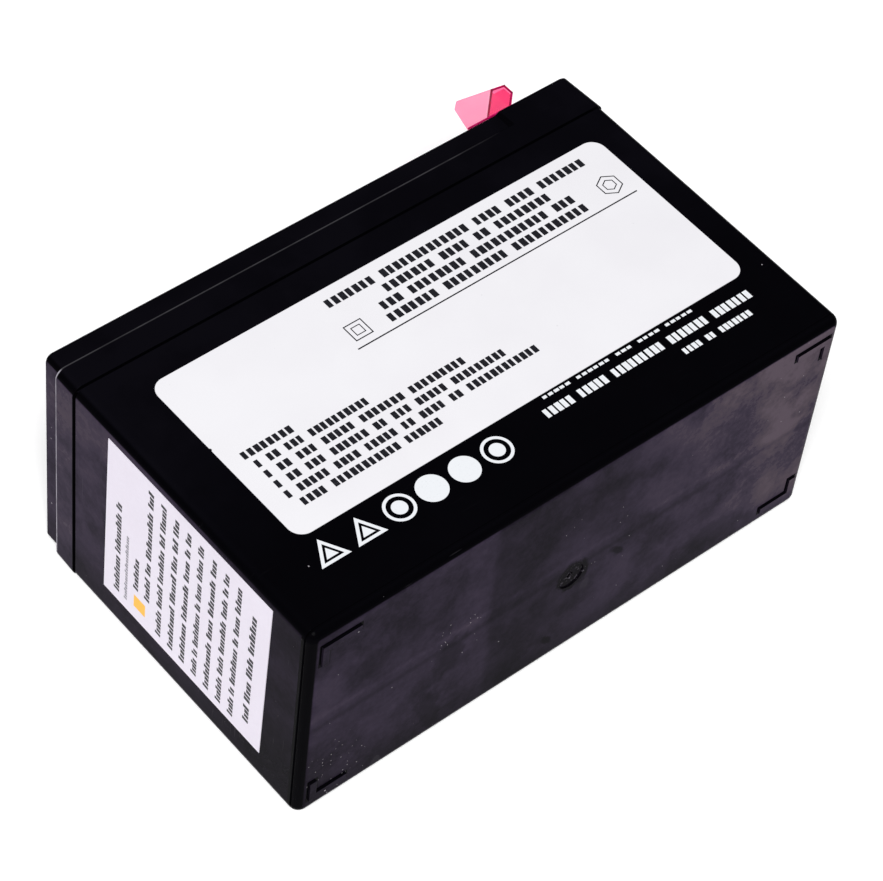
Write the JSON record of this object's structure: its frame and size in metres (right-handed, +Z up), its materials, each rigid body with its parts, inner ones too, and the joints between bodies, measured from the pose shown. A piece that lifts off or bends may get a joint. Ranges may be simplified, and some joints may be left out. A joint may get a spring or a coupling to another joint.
{
  "type": "sealed lead-acid ups battery",
  "caption": "Black rectangular sealed battery block lying on its back, with a stepped lid, two push-on blades, one red insulating guard, a white front label and a white end label.",
  "frame": {"origin": "centre of the broad back face that the battery lies on", "axes": "+X along the length towards the positive blade, +Y from the feet towards the lid and blades, +Z up towards the labelled face"},
  "size_m": [0.151, 0.1028, 0.065],
  "materials": {
    "black_abs": "moulded ABS, satin to gloss, fine handling marks",
    "black_epoxy": "cast epoxy",
    "red_epoxy": "cast epoxy, dyed red",
    "valve_rubber": "moulded rubber",
    "tinned_brass": "tin-plated sheet brass",
    "red_pvc": "translucent red moulded PVC",
    "printed_film": "white film label with grey print",
    "paper_label": "white paper sticker with black print",
    "positive_lead": "pasted lead plates, dark brown",
    "negative_lead": "pasted lead plates, grey",
    "weld_lead": "fused lead",
    "glass_mat": "absorbed glass mat"
  },
  "bodies": {
    "root": {"case": "black_abs", "cell_link_1": "weld_lead", "cell_link_2": "weld_lead", "cell_link_3": "weld_lead", "cell_link_4": "weld_lead", "cell_link_5": "weld_lead", "end_label": "paper_label", "front_label": "printed_film", "lid": "black_abs", "lid_cement": "black_epoxy", "negative_blade": "tinned_brass", "negative_group_1": "negative_lead", "negative_group_2": "negative_lead", "negative_group_3": "negative_lead", "negative_group_4": "negative_lead", "negative_group_5": "negative_lead", "negative_group_6": "negative_lead", "negative_seal": "black_epoxy", "positive_blade": "tinned_brass", "positive_group_1": "positive_lead", "positive_group_2": "positive_lead", "positive_group_3": "positive_lead", "positive_group_4": "positive_lead", "positive_group_5": "positive_lead", "positive_group_6": "positive_lead", "positive_seal": "red_epoxy", "separator_1": "glass_mat", "separator_2": "glass_mat", "separator_3": "glass_mat", "separator_4": "glass_mat", "separator_5": "glass_mat", "separator_6": "glass_mat", "terminal_guard": "red_pvc", "valve_1": "valve_rubber", "valve_2": "valve_rubber", "valve_3": "valve_rubber", "valve_4": "valve_rubber", "valve_5": "valve_rubber", "valve_6": "valve_rubber", "vent_cover": "black_abs"}
  },
  "joints": []
}
